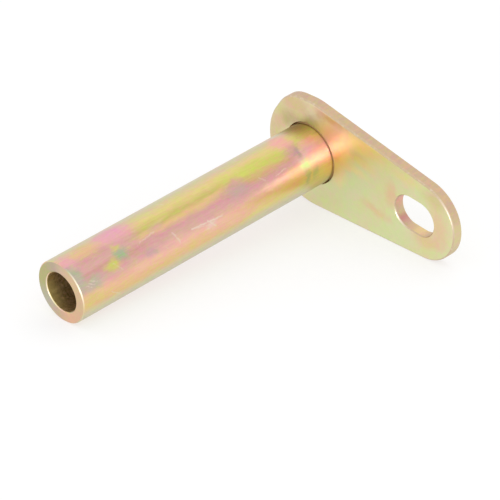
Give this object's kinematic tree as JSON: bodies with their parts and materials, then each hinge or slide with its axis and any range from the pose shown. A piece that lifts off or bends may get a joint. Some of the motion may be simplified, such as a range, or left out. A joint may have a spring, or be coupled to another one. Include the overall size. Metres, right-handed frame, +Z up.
{
  "type": "latch pin",
  "caption": "Steel tube pin with a slotted flag plate welded across one end, in yellow zinc finish.",
  "frame": {"origin": "on the tube's axis, at the flag plate's front face", "axes": "+Z up as the part lies at rest on the plate's long edge and the tube's free rim; -Y towards the tube's free end, with the tube's own axis sloping 4.9 degrees down; +X towards the plate's slot, with the plate's centreline sloping 6.5 degrees down"},
  "size_m": [0.0973, 0.1336, 0.0465],
  "materials": {
    "zinc_plated_steel": "yellow passivated zinc plate, iridescent, with light scuffs",
    "zinc_plated_weld": "yellow passivated zinc plate over a rippled weld"
  },
  "bodies": {
    "root": {"pin_tube": "zinc_plated_steel", "flag_plate": "zinc_plated_steel", "weld_bead": "zinc_plated_weld"}
  },
  "joints": []
}
